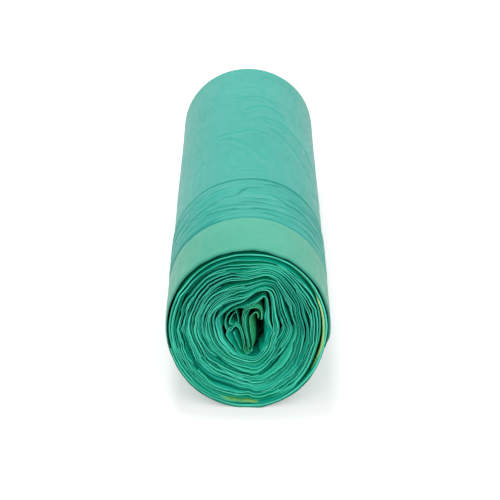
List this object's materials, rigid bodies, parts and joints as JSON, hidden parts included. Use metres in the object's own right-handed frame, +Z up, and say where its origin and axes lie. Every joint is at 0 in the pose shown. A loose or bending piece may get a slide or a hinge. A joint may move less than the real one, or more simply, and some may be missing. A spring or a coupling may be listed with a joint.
{
  "type": "bin bag roll",
  "caption": "Coreless roll of folded refuse sacks lying on its side, with a crumpled hollow, a hem band and gathers at one end and a strip of drawstring tape between its outer turns",
  "frame": {"origin": "under the middle of the roll, on the surface that it lies on", "axes": "X to the right seen from the hem end, Y along the roll from the hem end to the far end, Z up"},
  "size_m": [0.0716, 0.2388, 0.0705],
  "materials": {
    "film": "thin mint green polythene film with a satin sheen",
    "tape": "pale yellow polythene tape seen through green film"
  },
  "bodies": {
    "root": {"bag_roll": "film", "drawstring_tape": "tape"}
  },
  "joints": []
}
